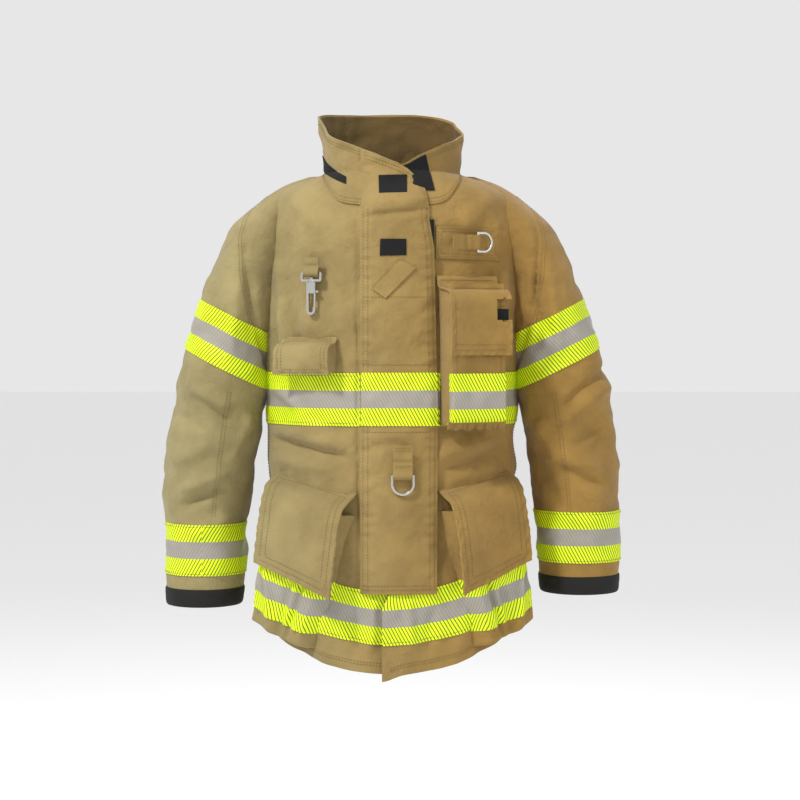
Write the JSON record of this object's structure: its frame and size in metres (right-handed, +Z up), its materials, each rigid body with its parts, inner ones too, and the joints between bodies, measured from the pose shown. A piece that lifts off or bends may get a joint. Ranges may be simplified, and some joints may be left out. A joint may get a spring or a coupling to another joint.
{
  "type": "firefighter turnout coat",
  "caption": "Firefighter's turnout coat with storm flap, standing collar, reflective trim, cargo and radio pockets, snap hook and utility rings.",
  "frame": {"origin": "centre of the neck opening at the collar seam", "axes": "+Z up, -Y the coat's front, +X the wearer's left"},
  "size_m": [0.683, 0.3259, 0.8196],
  "materials": {
    "shell_canvas": "heavy tan twill canvas",
    "liner_cloth": "dark quilted lining",
    "reflective_trim": "lime fluorescent tape with a silver retroreflective stripe",
    "loop_fastener": "napped black loop",
    "cuff_binding": "black aramid reinforcement",
    "knit_rib": "rib knit",
    "plated_steel": "bright nickel plate",
    "zip_brass": "worn brass",
    "zip_tape": "woven tape"
  },
  "bodies": {
    "coat": {"right_front_panel": "shell_canvas", "left_front_panel": "shell_canvas", "back_panel": "shell_canvas", "right_sleeve_head": "shell_canvas", "left_sleeve_head": "shell_canvas", "body_liner": "liner_cloth", "collar_shell": "shell_canvas", "collar_lining": "liner_cloth", "collar_patches": "loop_fastener", "hanger_loop": "shell_canvas", "right_cargo_bag": "shell_canvas", "left_cargo_bag": "shell_canvas", "right_cargo_trim": "reflective_trim", "left_cargo_trim": "reflective_trim", "radio_pocket": "shell_canvas", "radio_patch": "loop_fastener", "radio_trim": "reflective_trim", "chest_pocket": "shell_canvas", "right_front_trim": "reflective_trim", "left_front_trim": "reflective_trim", "back_trim": "reflective_trim", "zip_tapes": "zip_tape", "zip_teeth": "zip_brass", "storm_flap_seam": "shell_canvas", "flap_loop_tape": "loop_fastener", "mic_panel": "shell_canvas", "mic_strap": "shell_canvas", "hook_strap": "shell_canvas"},
    "storm_flap": {"storm_flap": "shell_canvas", "collar_wing": "shell_canvas", "wing_patch": "loop_fastener", "flap_patch": "loop_fastener", "slant_tab": "shell_canvas", "flap_trim": "reflective_trim", "flap_hook_tape": "loop_fastener", "ring_strap": "shell_canvas"},
    "centre_ring": {"centre_ring": "plated_steel"},
    "zip_slider": {"zip_slider": "zip_brass", "zip_pull": "zip_brass"},
    "right_cargo_flap": {"right_cargo_flap": "shell_canvas"},
    "left_cargo_flap": {"left_cargo_flap": "shell_canvas"},
    "radio_flap": {"radio_flap": "shell_canvas"},
    "chest_flap": {"chest_flap": "shell_canvas"},
    "mic_ring": {"mic_ring": "plated_steel"},
    "hook_eye": {"hook_eye": "plated_steel"},
    "hook_body": {"hook_body": "plated_steel"},
    "hook_bolt": {"hook_bolt": "plated_steel"},
    "right_sleeve": {"right_upper_sleeve": "shell_canvas", "right_upper_trim": "reflective_trim"},
    "right_forearm": {"right_forearm": "shell_canvas", "right_cuff_trim": "reflective_trim", "right_cuff": "cuff_binding", "right_wristlet": "knit_rib"},
    "left_sleeve": {"left_upper_sleeve": "shell_canvas", "left_upper_trim": "reflective_trim"},
    "left_forearm": {"left_forearm": "shell_canvas", "left_cuff_trim": "reflective_trim", "left_cuff": "cuff_binding", "left_wristlet": "knit_rib"}
  },
  "joints": [
    {"name": "storm_flap_hinge", "type": "hinge", "parent": "coat", "child": "storm_flap", "pos_m": [-0.0395, -0.14645, -0.3355], "axis": [0, -0.0448, -0.999], "range_deg": [0, 90]},
    {"name": "centre_ring_swing", "type": "hinge", "parent": "storm_flap", "child": "centre_ring", "pos_m": [0.016, -0.159, -0.439], "axis": [-1, 0, 0], "range_deg": [0, 150]},
    {"name": "zip_slide", "type": "slide", "parent": "coat", "child": "zip_slider", "axis": [0, -0.046, -0.9989], "range_m": [0, 0.583]},
    {"name": "right_cargo_flap_hinge", "type": "hinge", "parent": "coat", "child": "right_cargo_flap", "pos_m": [-0.18475, -0.087, -0.442], "axis": [-0.8079, 0.5579, 0.1897], "range_deg": [0, 100]},
    {"name": "left_cargo_flap_hinge", "type": "hinge", "parent": "coat", "child": "left_cargo_flap", "pos_m": [0.18821, -0.08206, -0.439], "axis": [-0.7772, -0.6021, -0.1829], "range_deg": [0, 100]},
    {"name": "radio_flap_hinge", "type": "hinge", "parent": "coat", "child": "radio_flap", "pos_m": [0.10856, -0.11147, -0.157], "axis": [-0.9272, -0.3746, 0], "range_deg": [0, 48]},
    {"name": "chest_flap_hinge", "type": "hinge", "parent": "coat", "child": "chest_flap", "pos_m": [-0.1187, -0.10834, -0.244], "axis": [-0.8829, 0.4695, 0], "range_deg": [0, 90]},
    {"name": "mic_ring_swing", "type": "hinge", "parent": "coat", "child": "mic_ring", "pos_m": [0.124, -0.11418, -0.105], "axis": [0, 0, -1], "range_deg": [0, 150]},
    {"name": "hook_swing", "type": "hinge", "parent": "coat", "child": "hook_eye", "pos_m": [-0.11529, -0.12086, -0.149], "axis": [-0.9135, 0.4067, 0], "range_deg": [0, 80]},
    {"name": "hook_swivel", "type": "hinge", "parent": "hook_eye", "child": "hook_body", "pos_m": [-0.11529, -0.12086, -0.149], "axis": [0, 0, -1], "range_deg": [0, 180]},
    {"name": "hook_bolt_slide", "type": "slide", "parent": "hook_body", "child": "hook_bolt", "axis": [0, 0, 1], "range_m": [0, 0.009], "stiffness_N_per_m": 200, "springref_m": -0.002},
    {"name": "right_shoulder", "type": "hinge", "parent": "coat", "child": "right_sleeve", "pos_m": [-0.175, 0, -0.148], "axis": [0, 1, 0], "range_deg": [0, 80]},
    {"name": "right_elbow", "type": "hinge", "parent": "right_sleeve", "child": "right_forearm", "pos_m": [-0.265, 0, -0.383], "axis": [-1, 0, 0], "range_deg": [0, 75]},
    {"name": "left_shoulder", "type": "hinge", "parent": "coat", "child": "left_sleeve", "pos_m": [0.175, 0, -0.148], "axis": [0, -1, 0], "range_deg": [0, 80]},
    {"name": "left_elbow", "type": "hinge", "parent": "left_sleeve", "child": "left_forearm", "pos_m": [0.265, 0, -0.383], "axis": [-1, 0, 0], "range_deg": [0, 75]}
  ]
}
